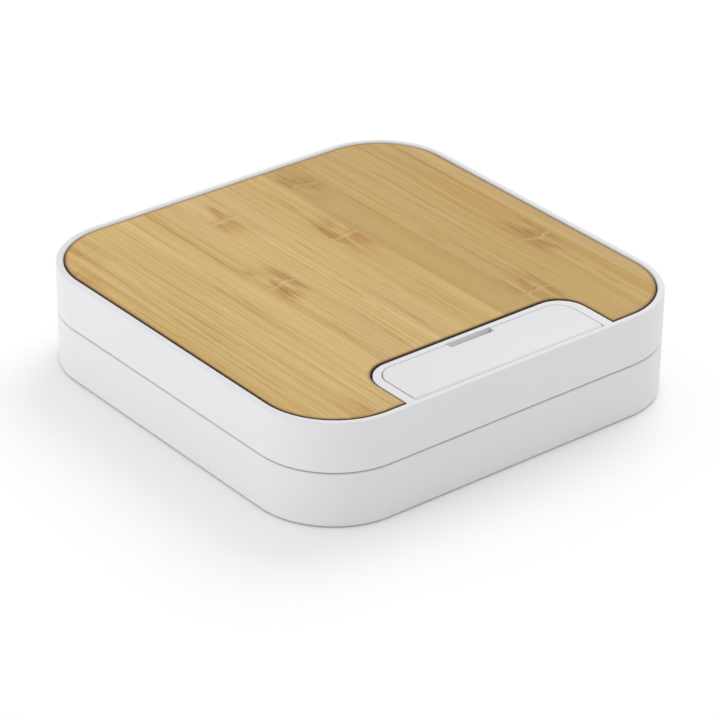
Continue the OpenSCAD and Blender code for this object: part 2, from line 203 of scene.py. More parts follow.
def upright(edge):
    """True for an edge that runs straight up."""
    a, b = edge.verts
    return abs(a.co.x - b.co.x) < 1e-6 and abs(a.co.y - b.co.y) < 1e-6


def round_edges(obj, test, width, segments):
    """Bevels the edges for which the test is true."""
    open_mesh(obj)
    pick(obj, "EDGE", test)
    bpy.ops.mesh.bevel(offset=width, segments=segments, affect="EDGES")
    close_mesh(obj)


def soften(obj, width, segments, angle=30):
    """Rounds the sharp edges with a bevel that is applied."""
    select_only(obj)
    tool = obj.modifiers.new("soft edges", "BEVEL")
    tool.width = width
    tool.segments = segments
    tool.limit_method = "ANGLE"
    tool.angle_limit = math.radians(angle)
    bpy.ops.object.modifier_apply(modifier=tool.name)


def carve(obj, cutter):
    """Cuts one object out of another and throws the cutter away."""
    select_only(obj)
    tool = obj.modifiers.new("cut", "BOOLEAN")
    tool.operation = "DIFFERENCE"
    tool.solver = "EXACT"
    tool.object = cutter
    bpy.ops.object.modifier_apply(modifier=tool.name)
    bpy.data.objects.remove(cutter, do_unlink=True)


def span_of(obj, axis):
    """Lowest and highest place of a piece along one axis."""
    places = [v.co[axis] for v in obj.data.vertices]
    return min(places), max(places)


def smooth(obj, angle):
    """Shades smooth, with sharp edges above an angle in degrees."""
    select_only(obj)
    bpy.ops.object.shade_smooth_by_angle(angle=math.radians(angle))
    return obj


def merge(objs, name):
    """Joins several objects into one piece."""
    select_none()
    for o in objs:
        o.select_set(True)
    bpy.context.view_layer.objects.active = objs[0]
    bpy.ops.object.join()
    return named(name)


def copies(obj, places):
    """Copies of one object with their own meshes, each moved by an offset."""
    made = []
    for offset in places:
        twin = obj.copy()
        twin.data = obj.data.copy()
        bpy.context.scene.collection.objects.link(twin)
        twin.location = Vector(offset)
        made.append(settle(twin))
    bpy.data.objects.remove(obj, do_unlink=True)
    return made


def twin_of(node, name):
    """A clean copy of a frame node, with its doubled points merged."""
    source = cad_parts[node]
    obj = bpy.data.objects.new(name, source.data.copy())
    bpy.context.scene.collection.objects.link(obj)
    obj.data.name = name
    obj.data.materials.clear()
    open_mesh(obj)
    select_all()
    bpy.ops.mesh.remove_doubles(threshold=1e-6)
    bpy.ops.mesh.dissolve_limited(angle_limit=math.radians(0.5))
    return close_mesh(obj)


def finish_piece(obj, body, slot, *replaced):
    """Says what the piece rides on and the frame nodes it stands for; the finish it is given is not
    used.
    """
    for node in replaced:
        low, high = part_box(node)
        for axis in range(3):
            least, most = span_of(obj, axis)
            if abs(least - low[axis]) > SIZE_MARGIN or abs(most - high[axis]) > SIZE_MARGIN:
                raise RuntimeError("%s isn't the size of %s along %s" % (obj.name, node, "XYZ"[axis]))
    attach(obj, body)
    if replaced:
        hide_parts(*replaced)


def paint(obj, *materials):
    obj.data.materials.clear()
    for material in materials:
        obj.data.materials.append(material)


# ---------------------------------------------------------------- shader helpers

class Sheet:
    """A small drawing board for nodes: adds them, sets their values and links them."""

    def __init__(self, tree):
        self.tree = tree
        self.count = 0

    def add(self, kind, **values):
        node = self.tree.nodes.new(kind)
        node.location = (200 * (self.count % 8), -220 * (self.count // 8))
        self.count += 1
        for key, value in values.items():
            setattr(node, key, value)
        return node

    def join(self, source, target):
        self.tree.links.new(source, target)

    def feed(self, socket, value):
        if isinstance(value, bpy.types.NodeSocket):
            self.join(value, socket)
        else:
            socket.default_value = value

    def math(self, operation, a, b=0.0):
        node = self.add("ShaderNodeMath", operation=operation)
        for socket, value in zip(node.inputs, (a, b)):
            self.feed(socket, value)
        return node.outputs[0]

    def plus(self, a, b):
        return self.math("ADD", a, b)

    def minus(self, a, b):
        return self.math("SUBTRACT", a, b)

    def times(self, a, b):
        return self.math("MULTIPLY", a, b)

    def over(self, a, b):
        return self.math("DIVIDE", a, b)

    def vector(self, operation, a, b=(0, 0, 0), scale=None):
        node = self.add("ShaderNodeVectorMath", operation=operation)
        self.feed(node.inputs[0], a)
        if scale is None:
            self.feed(node.inputs[1], b)
        else:
            self.feed(node.inputs["Scale"], scale)
        return node.outputs["Value"] if operation == "LENGTH" else node.outputs["Vector"]

    def split(self, vector):
        node = self.add("ShaderNodeSeparateXYZ")
        self.feed(node.inputs[0], vector)
        return node.outputs

    def combine(self, x=0.0, y=0.0, z=0.0):
        node = self.add("ShaderNodeCombineXYZ")
        for socket, value in zip(node.inputs, (x, y, z)):
            self.feed(socket, value)
        return node.outputs[0]

    def noise(self, vector, scale=1.0, detail=2.0, roughness=0.5, distortion=0.0):
        node = self.add("ShaderNodeTexNoise")
        self.feed(node.inputs["Vector"], vector)
        for key, value in (("Scale", scale), ("Detail", detail), ("Roughness", roughness),
                           ("Distortion", distortion)):
            self.feed(node.inputs[key], value)
        return node.outputs["Fac"]

    def range(self, value, low, high, to_low=0.0, to_high=1.0):
        node = self.add("ShaderNodeMapRange", interpolation_type="SMOOTHSTEP")
        for key, v in (("Value", value), ("From Min", low), ("From Max", high),
                       ("To Min", to_low), ("To Max", to_high)):
            self.feed(node.inputs[key], v)
        return node.outputs["Result"]

    def mix(self, amount, a, b, blend="MIX"):
        node = self.add("ShaderNodeMix", data_type="RGBA", blend_type=blend)
        node.clamp_factor = True
        self.feed(node.inputs["Factor"], amount)
        colours = [s for s in node.inputs if s.type == "RGBA"]
        for socket, value in zip(colours, (a, b)):
            if not isinstance(value, bpy.types.NodeSocket) and len(value) == 3:
                value = (*value, 1.0)
            self.feed(socket, value)
        return [s for s in node.outputs if s.type == "RGBA"][0]

    def steps(self, value, stops):
        node = self.add("ShaderNodeValToRGB")
        ramp = node.color_ramp
        ramp.interpolation = "CONSTANT"
        while len(ramp.elements) < len(stops):
            ramp.elements.new(0.5)
        for element, (place, level) in zip(ramp.elements, stops):
            element.position = place
            element.color = (level, level, level, 1.0)
        self.feed(node.inputs[0], value)
        return node.outputs["Color"]

    def bump(self, height, strength, distance):
        node = self.add("ShaderNodeBump")
        node.inputs["Strength"].default_value = strength
        node.inputs["Distance"].default_value = distance
        self.feed(node.inputs["Height"], height)
        return node.outputs["Normal"]

    def group(self, tree, **values):
        node = self.add("ShaderNodeGroup")
        node.node_tree = tree
        for key, value in values.items():
            self.feed(node.inputs[key.replace("_", " ")], value)
        return node.outputs

    def place(self):
        """Where a point of the piece is, in millimetres."""
        coordinates = self.add("ShaderNodeTexCoord").outputs["Object"]
        return self.vector("SCALE", coordinates, scale=1000.0)


def new_group(name, inputs, outputs):
    """A shader node group with named inputs and outputs."""
    tree = bpy.data.node_groups.new(name, "ShaderNodeTree")
    for label, kind, default in inputs:
        socket = tree.interface.new_socket(name=label, in_out="INPUT", socket_type=kind)
        if default is not None:
            socket.default_value = default
    for label, kind in outputs:
        tree.interface.new_socket(name=label, in_out="OUTPUT", socket_type=kind)
    sheet = Sheet(tree)
    source = sheet.add("NodeGroupInput").outputs
    target = sheet.add("NodeGroupOutput").inputs
    return tree, sheet, source, target


VALUE, VECTOR = "NodeSocketFloat", "NodeSocketVector"

# X of the first glue line that is counted, in millimetres
FIRST_GLUE_LINE = -36.3


def moulded_grain_group():
    """Fine spark-eroded grain of moulded plastic, with a slow waviness."""
    tree, s, given, out = new_group(
        "moulded grain",
        [("Place", VECTOR, None), ("Grain size", VALUE, 0.12), ("Seed", VALUE, 0.0)],
        [("Height", VALUE), ("Gloss", VALUE), ("Tone", VALUE)])
    shifted = s.vector("ADD", given["Place"], s.combine(given["Seed"], given["Seed"], 0.0))
    fine = s.noise(shifted, s.over(1.0, given["Grain size"]), 2.0, 0.6)
    cell = s.add("ShaderNodeTexVoronoi")
    s.feed(cell.inputs["Vector"], shifted)
    s.feed(cell.inputs["Scale"], s.over(0.55, given["Grain size"]))
    slow = s.noise(shifted, 0.035, 2.0, 0.5)
    handled = s.noise(shifted, 0.16, 4.0, 0.62, 0.4)
    s.feed(out["Height"], s.plus(s.times(fine, 0.6), s.times(cell.outputs["Distance"], 0.4)))
    s.feed(out["Gloss"], s.plus(s.times(slow, 0.55), s.times(handled, 0.45)))
    s.feed(out["Tone"], slow)
    return tree


def strip_group():
    """Laminated strips side by side along X: which strip, the way to its glue line, a random value."""
    tree, s, given, out = new_group(
        "laminated strips",
        [("Place", VECTOR, None), ("Width", VALUE, 8.0), ("Start", VALUE, FIRST_GLUE_LINE)],
        [("Number", VALUE), ("Joint", VALUE), ("Random", VALUE), ("Across", VALUE)])
    x = s.split(given["Place"])[0]
    wander = s.times(s.minus(s.noise(s.combine(x, 0.0, 3.0), 0.11, 1.0), 0.5), 0.8)
    along = s.over(s.minus(s.plus(x, wander), given["Start"]), given["Width"])
    number = s.math("FLOOR", along)
    across = s.math("FRACT", along)
    near = s.times(s.math("MINIMUM", across, s.minus(1.0, across)), given["Width"])
    white = s.add("ShaderNodeTexWhiteNoise", noise_dimensions="1D")
    s.feed(white.inputs["W"], number)
    s.feed(out["Number"], number)
    s.feed(out["Joint"], near)
    s.feed(out["Random"], white.outputs["Value"])
    s.feed(out["Across"], across)
    return tree


def fibre_group():
    """Long bamboo fibres along Y: fine grain, long thin lines, short dashes, bands and pores."""
    tree, s, given, out = new_group(
        "bamboo fibres",
        [("Place", VECTOR, None), ("Shift", VALUE, 0.0)],
        [("Fine", VALUE), ("Line", VALUE), ("Dash", VALUE), ("Band", VALUE), ("Pore", VALUE)])
    x, y, z = s.split(given["Place"])
    bend = s.noise(s.combine(s.times(x, 0.05), s.times(y, 0.022), 0.0), 1.0, 1.0)
    x = s.plus(x, s.times(s.minus(bend, 0.5), 1.8))
    x = s.plus(x, s.times(given["Shift"], 37.0))
    y = s.plus(y, s.times(given["Shift"], 211.0))

    def stretched(across, along, detail, roughness=0.55, layer=0.0):
        return s.noise(s.combine(s.times(x, across), s.times(y, along), layer), 1.0, detail, roughness)

    fine = stretched(2.1, 0.018, 2.0, 0.6)
    hair = stretched(5.5, 0.08, 2.0, 0.55, 4.0)
    s.feed(out["Fine"], s.plus(s.times(fine, 0.78), s.times(hair, 0.22)))
    line = s.range(stretched(1.35, 0.010, 1.0, 0.5, 9.0), 0.57, 0.70)
    s.feed(out["Line"], s.times(line, s.range(stretched(0.3, 0.03, 1.0, 0.5, 14.0), 0.38, 0.58)))
    dash = s.range(stretched(1.7, 0.045, 1.5, 0.5, 19.0), 0.58, 0.72)
    where = s.range(stretched(0.22, 0.028, 1.0, 0.5, 24.0), 0.44, 0.66)
    s.feed(out["Dash"], s.times(dash, where))
    s.feed(out["Band"], stretched(0.40, 0.007, 2.0, 0.5, 29.0))
    pore = s.range(stretched(5.0, 0.30, 1.0, 0.5, 34.0), 0.64, 0.76)
    s.feed(out["Pore"], s.times(pore, where))
    return tree


def knot_group():
    """One joint of the cane in a strip: a pale wavy line, a dark one beside it and combed streaks."""
    tree, s, given, out = new_group(
        "cane joint",
        [("Place", VECTOR, None), ("Centre X", VALUE, 0.0), ("Centre Y", VALUE, 0.0),
         ("Half width", VALUE, 3.9), ("Below", VALUE, 0.6), ("Seed", VALUE, 0.0)],
        [("Ridge", VALUE), ("Line", VALUE), ("Streaks", VALUE), ("Glow", VALUE)])
    x, y, z = s.split(given["Place"])
    x = s.minus(x, given["Centre X"])
    y = s.minus(y, given["Centre Y"])
    moved = s.plus(x, given["Seed"])
    wobble = s.noise(s.combine(moved, s.times(y, 0.25), given["Seed"]), 0.24, 2.0, 0.6)
    bent = s.plus(y, s.times(s.minus(wobble, 0.5), 5.5))
    inside = s.range(s.math("ABSOLUTE", x), given["Half width"], s.minus(given["Half width"], 0.8))

    def bell(value, spread):
        ratio = s.over(value, spread)
        return s.math("EXPONENT", s.times(s.times(ratio, ratio), -1.0))

    comb = s.noise(s.combine(s.times(moved, 1.45), s.times(y, 0.075), given["Seed"]), 1.0, 2.0, 0.6)
    comb = s.range(comb, 0.47, 0.63)
    patch = s.range(s.noise(s.combine(s.times(moved, 0.30), s.times(y, 0.07),
                                      given["Seed"]), 1.0, 1.0), 0.36, 0.58)
    reach = s.plus(bell(s.minus(bent, 3.4), 4.4), s.times(bell(s.plus(bent, 4.2), 3.4), given["Below"]))
    streaks = s.times(s.times(reach, comb), s.times(patch, inside))
    broken = s.range(s.noise(s.combine(moved, y, given["Seed"]), 0.8, 2.0), 0.40, 0.60)
    line = s.times(s.times(bell(s.minus(bent, 0.75), 0.22), broken), inside)
    s.feed(out["Ridge"], s.times(bell(bent, 0.55), inside))
    s.feed(out["Line"], line)
    s.feed(out["Streaks"], s.math("MINIMUM", streaks, 1.0))
    s.feed(out["Glow"], s.times(s.times(bell(bent, 6.5), inside), patch))
    return tree


def long_fibre_group():
    """One long dark fibre along Y that leans a little and thins out at both ends."""
    tree, s, given, out = new_group(
        "long fibre",
        [("Place", VECTOR, None), ("Line X", VALUE, 0.0), ("Line Y", VALUE, 0.0),
         ("Half length", VALUE, 10.0), ("Width", VALUE, 0.2)],
        [("Line", VALUE)])
    x, y, z = s.split(given["Place"])
    along = s.over(s.minus(y, given["Line Y"]), given["Half length"])
    lean = s.times(s.math("SINE", s.times(along, 2.3)), 0.14)
    off = s.over(s.minus(s.minus(x, given["Line X"]), lean), given["Width"])
    thin = s.math("EXPONENT", s.times(s.times(off, off), -1.0))
    s.feed(out["Line"], s.times(thin, s.range(s.math("ABSOLUTE", along), 1.0, 0.45)))
    return tree


def plate_edge_group():
    """How far a point of the plate is from its cut outline, in millimetres."""
    tree, s, given, out = new_group(
        "distance to cut edge",
        [("Place", VECTOR, None), ("Half", VALUE, 49.07), ("Corner", VALUE, 16.47),
         ("Notch half", VALUE, 27.2), ("Notch back", VALUE, -33.2), ("Notch corner", VALUE, 6.0)],
        [("Distance", VALUE)])
    x, y, z = s.split(given["Place"])

    def rounded_box(px, py, half_x, half_y, corner):
        qx = s.plus(s.minus(s.math("ABSOLUTE", px), half_x), corner)
        qy = s.plus(s.minus(s.math("ABSOLUTE", py), half_y), corner)
        outer = s.vector("LENGTH", s.combine(s.math("MAXIMUM", qx, 0.0), s.math("MAXIMUM", qy, 0.0)))
        inner = s.math("MINIMUM", s.math("MAXIMUM", qx, qy), 0.0)
        return s.minus(s.plus(outer, inner), corner)

    plate = rounded_box(x, y, given["Half"], given["Half"], given["Corner"])
    depth = 40.0
    middle = s.minus(given["Notch back"], depth)
    notch = rounded_box(x, s.minus(y, middle), given["Notch half"], depth, given["Notch corner"])
    s.feed(out["Distance"], s.math("MINIMUM", s.times(plate, -1.0), notch))
    return tree


def drawn_lines_group():
    """Fine lines left by drawing or rolling, long where the place is squeezed."""
    tree, s, given, out = new_group(
        "drawn lines", [("Place", VECTOR, None), ("Squeeze", VECTOR, (0.08, 6.0, 6.0))],
        [("Lines", VALUE)])
    s.feed(out["Lines"], s.noise(s.vector("MULTIPLY", given["Place"], given["Squeeze"]), 1.0, 3.0, 0.6))
    return tree


GROUPS = {}


def build_groups():
    GROUPS["grain"] = moulded_grain_group()
    GROUPS["strips"] = strip_group()
    GROUPS["fibres"] = fibre_group()
    GROUPS["knot"] = knot_group()
    GROUPS["long"] = long_fibre_group()
    GROUPS["edge"] = plate_edge_group()
    GROUPS["lines"] = drawn_lines_group()


def shade(colour, amount):
    """A colour made darker or lighter by one factor."""
    return tuple(c * amount for c in colour)


def new_material(name, roughness=0.5, metallic=0.0, **sockets):
    """A material with its shader, and constants set on the shader's own sockets."""
    material = bpy.data.materials.new(name)
    material.use_nodes = True
    tree = material.node_tree
    tree.nodes.clear()
    sheet = Sheet(tree)
    shader = sheet.add("ShaderNodeBsdfPrincipled")
    output = sheet.add("ShaderNodeOutputMaterial")
    sheet.join(shader.outputs["BSDF"], output.inputs["Surface"])
    shader.inputs["Roughness"].default_value = roughness
    shader.inputs["Metallic"].default_value = metallic
    for key, value in sockets.items():
        shader.inputs[key.replace("_", " ")].default_value = value
    return material, sheet, shader.inputs


def surface(s, shader, colour, cause, gloss, height, strength, depth):
    """Links the colour, a roughness that follows its cause between two values, and the bump."""
    s.feed(shader["Base Color"], colour)
    s.feed(shader["Roughness"], s.range(cause, 0.3, 0.7, *gloss))
    s.feed(shader["Normal"], s.bump(height, strength, depth * MM))


def moulded(name, colour, roughness=0.42, grain=0.12, depth=0.10, seed=0.0, spread=0.12, **sockets):
    """Moulded plastic or rubber with a fine grain, a faint tone change and uneven gloss."""
    material, s, shader = new_material(name, roughness, **sockets)
    grain_out = s.group(GROUPS["grain"], Place=s.place(), Grain_size=grain, Seed=seed)
    surface(s, shader, s.mix(grain_out["Tone"], shade(colour, 0.965), tuple(colour)),
            grain_out["Gloss"], (roughness - spread / 2, roughness + spread / 2),
            grain_out["Height"], depth, 0.02)
    return material


def drawn_metal(name, colour, roughness=0.32, squeeze=(0.08, 6.0, 6.0), depth=0.12):
    """Metal with fine drawn lines along one axis."""
    material, s, shader = new_material(name, roughness, 1.0)
    lines = s.group(GROUPS["lines"], Place=s.place(), Squeeze=squeeze)["Lines"]
    surface(s, shader, s.mix(lines, shade(colour, 0.86), colour),
            lines, (roughness - 0.07, roughness + 0.09), lines, depth, 0.02)
    return material


# Where the joints of the cane show in the strips: middle X, middle Y, half width, seed,
# strength, and how strong the streaks below the joint are beside those above it.
CANE_JOINTS = (
    (7.7, 14.8, 3.9, 11.0, 1.0, 0.45),
    (39.7, -10.5, 3.9, 23.0, 1.0, 0.9),
    (-8.3, 35.0, 3.9, 2.0, 0.85, 0.35),
    (-16.3, 5.0, 3.9, 5.0, 1.0, 0.9),
    (23.7, -28.5, 3.9, 31.0, 0.8, 0.5),
    (15.7, 38.5, 3.9, 61.0, 0.7, 0.2),
    (-46.8, 33.0, 2.4, 41.0, 0.6, 0.4),
    (-39.6, 39.5, 3.6, 47.0, 0.35, 0.3),
    (-35.8, -47.5, 3.0, 53.0, 0.6, 0.2),
)

# Browns of the joints' streaks, of their thin line and of the smoke by the cut edge.
STREAK_BROWN = (0.33, 0.16, 0.030)
JOINT_BROWN = (0.30, 0.15, 0.035)
SMOKE_BROWN = (0.20, 0.095, 0.03)

# Strips from left to right: brightness, warmth, and how strongly the fibres show.
STRIP_TONES = (
    (0.985, 0.36, 0.9), (0.985, 0.35, 0.9), (1.0, 0.16, 0.8), (1.005, 0.0, 0.75), (0.965, 0.26, 0.8),
    (0.99, 0.06, 0.85), (0.95, 0.06, 0.58), (0.945, 0.36, 0.7), (0.815, 0.60, 0.34), (0.855, 0.64, 0.6),
    (0.850, 0.60, 0.5), (0.870, 1.0, 0.85), (0.865, 0.52, 0.8),
)

# Long dark fibres: X, middle Y, half length, width, strength.
LONG_FIBRES = (
    (-20.2, 27.0, 19.0, 0.22, 0.75), (-27.9, 5.0, 15.0, 0.30, 0.75), (-26.7, 1.0, 10.0, 0.26, 0.65),
    (-25.6, 12.0, 11.0, 0.22, 0.50), (-11.6, -22.0, 12.0, 0.26, 0.70), (-10.4, -24.0, 9.0, 0.20, 0.45),
    (-3.4, -18.0, 15.0, 0.26, 0.75), (-2.1, 14.0, 8.0, 0.22, 0.55), (0.2, -3.0, 11.0, 0.20, 0.45),
    (4.6, -21.0, 12.0, 0.28, 0.65), (6.3, -19.0, 11.0, 0.22, 0.55), (7.2, 35.0, 8.0, 0.30, 0.70),
    (6.2, 38.0, 7.0, 0.20, 0.50), (20.2, -12.0, 24.0, 0.20, 0.45), (21.4, -8.0, 20.0, 0.18, 0.40),
    (39.2, -29.0, 13.0, 0.55, 0.45), (41.2, 12.0, 20.0, 0.40, 0.40), (-46.6, -2.0, 26.0, 0.28, 0.55),
    (-42.4, -8.0, 34.0, 0.22, 0.45), (-40.9, -2.0, 36.0, 0.20, 0.45), (-38.6, 6.0, 34.0, 0.22, 0.45),
)


def bamboo_material(colours, sizes):
    """Oiled laminated bamboo: strips, fibres, cane joints, glue lines and a singed outline."""
    material, s, shader = new_material("bamboo", 0.50, Specular_IOR_Level=0.16)
    place = s.place()
    strips = s.group(GROUPS["strips"], Place=place, Width=sizes.strip_width / MM,
                     Start=FIRST_GLUE_LINE)
    fibres = s.group(GROUPS["fibres"], Place=place, Shift=strips["Random"])

    # Brightness, warmth and fibre of each strip; the table starts two strips left of the first line
    count = len(STRIP_TONES)
    which = s.over(s.plus(strips["Number"], 2.5), count)
    bright, warm, vivid = (
        s.steps(which, [(i / count, tone[k] * scale) for i, tone in enumerate(STRIP_TONES)])
        for k, scale in enumerate((0.5, 1.0, 1.0)))

    pale = tuple(colours.bamboo)
    fibre = tuple(colours.fibre)
    gold = (pale[0] * 0.955, pale[1] * 0.85, pale[2] * 0.60)
    straw = (pale[0] * 1.07, pale[1] * 1.10, pale[2] * 1.22)
    amber = (fibre[0] * 1.05, fibre[1] * 0.95, fibre[2] * 0.72)
    wood = s.mix(warm, pale, gold)
    for amount, colour in (
            (s.range(fibres["Band"], 0.38, 0.64, 0.0, 0.9), straw),
            (s.range(fibres["Band"], 0.46, 0.30, 0.0, 0.75), gold),
            (s.range(fibres["Fine"], 0.36, 0.62, 0.46, 0.0), fibre),
            (s.times(fibres["Line"], 0.75), fibre),
            (s.times(fibres["Dash"], 0.70), amber),
            (s.times(fibres["Pore"], 0.50), shade(fibre, 0.8))):
        wood = s.mix(s.times(amount, vivid), wood, colour)

    # Long dark fibres, thinning out at both ends and broken here and there
    x, y, z = s.split(place)
    broken = s.range(s.noise(s.combine(s.times(x, 0.9), s.times(y, 0.16), 2.0),
                             1.0, 2.0, 0.6), 0.36, 0.60, 0.25, 1.0)
    for line_x, line_y, half, width, strength in LONG_FIBRES:
        fibre_line = s.group(GROUPS["long"], Place=place, Line_X=line_x, Line_Y=line_y,
                             Half_length=half, Width=width)["Line"]
        amount = s.times(s.times(fibre_line, broken), strength)
        wood = s.mix(amount, wood, amber)

    ridges = 0.0
    for joint_x, joint_y, half, seed, strength, below in CANE_JOINTS:
        joint = s.group(GROUPS["knot"], Place=place, Centre_X=joint_x, Centre_Y=joint_y,
                        Half_width=half, Below=below, Seed=seed)
        wood = s.mix(s.times(joint["Glow"], 0.72 * strength), wood, amber)
        wood = s.mix(s.times(joint["Streaks"], 0.85 * strength), wood, STREAK_BROWN)
        wood = s.mix(s.times(joint["Ridge"], 0.50 * strength), wood, straw)
        wood = s.mix(s.times(joint["Line"], 0.55 * strength), wood, JOINT_BROWN)
        ridges = s.plus(ridges, joint["Ridge"])
    wood = s.mix(1.0, wood, s.vector("SCALE", bright, scale=2.0), "MULTIPLY")

    seam = s.noise(s.combine(strips["Number"], s.times(s.split(place)[1], 0.03), 7.0), 1.0, 1.0)
    glue = s.times(s.range(strips["Joint"], 0.20, 0.03), s.range(seam, 0.35, 0.6, 0.10, 0.62))
    wood = s.mix(glue, wood, shade(fibre, 0.85))

    # Singed outline
    cut = s.group(GROUPS["edge"], Place=place, Half=WOOD_HIGH.x / MM, Corner=sizes.wood_corner / MM,
                  Notch_half=sizes.notch_width / MM / 2, Notch_back=sizes.notch_back / MM,
                  Notch_corner=sizes.notch_corner / MM)["Distance"]
    smoke = s.plus(cut, s.times(s.noise(place, 0.9, 3.0), -0.3))
    wood = s.mix(s.range(smoke, 0.80, -0.05, 0.0, 0.65), wood, SMOKE_BROWN)
    wood = s.mix(s.range(cut, 0.30, 0.12, 0.0, 0.9), wood, tuple(colours.burnt))

    height = s.minus(fibres["Fine"], s.times(fibres["Pore"], 0.8))
    height = s.minus(height, s.times(fibres["Line"], 0.4))
    height = s.plus(height, s.times(ridges, 0.25))
    height = s.minus(height, s.times(glue, 1.2))
    surface(s, shader, wood, fibres["Fine"], (0.40, 0.52), height, 0.22, 0.05)
    return material


def burnt_material(colours):
    """The plate's cut side: charred by the cutter, with fibres still showing."""
    material, s, shader = new_material("burnt edge", 0.62)
    place = s.place()
    x, y, z = s.split(place)
    layers = s.noise(s.combine(s.times(x, 1.4), s.times(y, 1.4), s.times(z, 0.5)), 1.0, 3.0, 0.6)
    char = s.mix(s.range(layers, 0.42, 0.72), tuple(colours.burnt), shade(colours.burnt, 2.6))
    surface(s, shader, char, layers, (0.55, 0.75), layers, 0.3, 0.06)
    return material


def felt_material(colours):
    """Pressed felt: tangled fibres, small flecks and a soft sheen."""
    material, s, shader = new_material("felt", 0.95, Sheen_Weight=0.35, Sheen_Roughness=0.6)
    place = s.place()
    tangle = s.noise(place, 1.1, 6.0, 0.70, 1.8)
    fleck = s.range(s.noise(place, 2.4, 3.0, 0.55, 0.8), 0.58, 0.70)
    pressed = s.noise(place, 0.09, 3.0, 0.55)
    wool = s.mix(s.range(tangle, 0.36, 0.64), shade(colours.felt, 0.50), shade(colours.felt, 1.7))
    wool = s.mix(s.range(pressed, 0.35, 0.65, 0.0, 0.35), wool, shade(colours.felt, 1.5))
    wool = s.mix(s.times(fleck, 0.6), wool, (0.34, 0.34, 0.35))
    surface(s, shader, wool, tangle, (0.88, 1.0), tangle, 0.7, 0.16)
    return material


def board_material():
    """Solder mask with copper tracks and pads under it."""
    material, s, shader = new_material("circuit board", 0.38)
    place = s.place()
    x, y, z = s.split(place)
    wave = s.add("ShaderNodeTexVoronoi", feature="DISTANCE_TO_EDGE", distance="CHEBYCHEV")
    s.feed(wave.inputs["Vector"], s.combine(x, y, 0.0))
    wave.inputs["Scale"].default_value = 0.45
    tracks = s.range(wave.outputs["Distance"], 0.10, 0.05)
    weave = s.noise(s.combine(s.times(x, 3.0), s.times(y, 3.0), z), 1.0, 2.0)
    mask = s.mix(weave, (0.010, 0.075, 0.030), (0.014, 0.105, 0.042))
    surface(s, shader, s.mix(s.times(tracks, 0.75), mask, (0.03, 0.20, 0.075)),
            weave, (0.32, 0.44), tracks, 0.25, 0.05)
    return material


def coil_material():
    """Enamelled copper wire with a faint lay along each turn."""
    material, s, shader = new_material("enamelled copper", 0.28, 1.0, Coat_Weight=0.5,
                                       Coat_Roughness=0.12)
    place = s.place()
    lay = s.noise(place, 2.2, 3.0, 0.6)
    surface(s, shader, s.mix(lay, (0.60, 0.25, 0.10), (0.78, 0.38, 0.18)),
            lay, (0.22, 0.36), lay, 0.1, 0.03)
    return material


def frosted_material():
    """Frosted light pipe plastic, a little milky."""
    material, s, shader = new_material("frosted plastic", 0.35)
    cloud = s.noise(s.place(), 1.4, 2.0)
    s.feed(shader["Base Color"], s.mix(cloud, (0.78, 0.81, 0.82), (0.88, 0.90, 0.91)))
    s.feed(shader["Roughness"], s.range(cloud, 0.3, 0.7, 0.28, 0.42))
    return material


MATERIALS = {}


def build_materials(colours, sizes):
    white = tuple(colours.plastic)
    MATERIALS.update({
        "white": moulded("white plastic", white, 0.40, 0.10, 0.10, 0.0, 0.08,
                         Specular_IOR_Level=0.42),
        "ledge": moulded("ledge plastic", white, 0.40, 0.10, 0.10, 17.0, 0.08,
                         Specular_IOR_Level=0.42),
        "cover": moulded("cover plastic", shade(white, 0.90), 0.55, 0.22, 0.28, 9.0, 0.10),
        "silicone": moulded("silicone", (0.50, 0.50, 0.51), 0.62, 0.16, 0.16, 4.0, 0.14),
        "adhesive": moulded("adhesive sheet", (0.55, 0.55, 0.52), 0.6, 0.3, 0.2, 3.0),
        "ferrite": moulded("ferrite", (0.045, 0.045, 0.05), 0.55, 0.14, 0.3, 6.0),
        "holder": moulded("holder plastic", (0.09, 0.09, 0.095), 0.5, 0.16, 0.2, 8.0),
        "chip": moulded("moulded chip", (0.02, 0.02, 0.021), 0.45, 0.1, 0.2, 12.0),
        "sleeve": moulded("bearing plastic", (0.03, 0.03, 0.032), 0.35, 0.1, 0.08, 13.0),
        "ceramic": moulded("capacitor ceramic", (0.42, 0.29, 0.17), 0.5, 0.12, 0.15, 14.0),
        "steel": drawn_metal("steel", (0.60, 0.60, 0.61), 0.30),
        "zinc": drawn_metal("plated steel", (0.55, 0.56, 0.57), 0.34, (6.0, 6.0, 0.08)),
        "nickel": drawn_metal("nickel", (0.68, 0.66, 0.62), 0.22, (0.08, 6.0, 6.0), 0.05),
        "bamboo": bamboo_material(colours, sizes),
        "burnt": burnt_material(colours),
        "felt": felt_material(colours),
        "board": board_material(),
        "copper": coil_material(),
        "frosted": frosted_material(),
    })


def paint_nodes(**finishes):
    """Gives frame nodes that stay as they are their materials: a finish and the nodes that have it."""
    for finish, names in finishes.items():
        for name in names:
            paint(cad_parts[name], MATERIALS[finish])


# ---------------------------------------------------------------- operators, one per piece

class PAD_OT_finishes(Operator):
    """Builds the node groups and the materials that the pieces use"""

    bl_idname = "pad.finishes"
    bl_label = "Finishes"

    def execute(self, context):
        build_groups()
        build_materials(context.scene.pad_colours, context.scene.pad_sizes)
        return {"FINISHED"}


class PAD_OT_shells(Operator):
    """Gives the frame's own moulded halves and covers their finish"""

    bl_idname = "pad.shells"
    bl_label = "White halves and covers"

    def execute(self, context):
        paint_nodes(white=("lid_shell", "base_shell"), cover=("lid_cover", "bottom_cover"),
                    adhesive=("adhesive_sheet",))
        return {"FINISHED"}


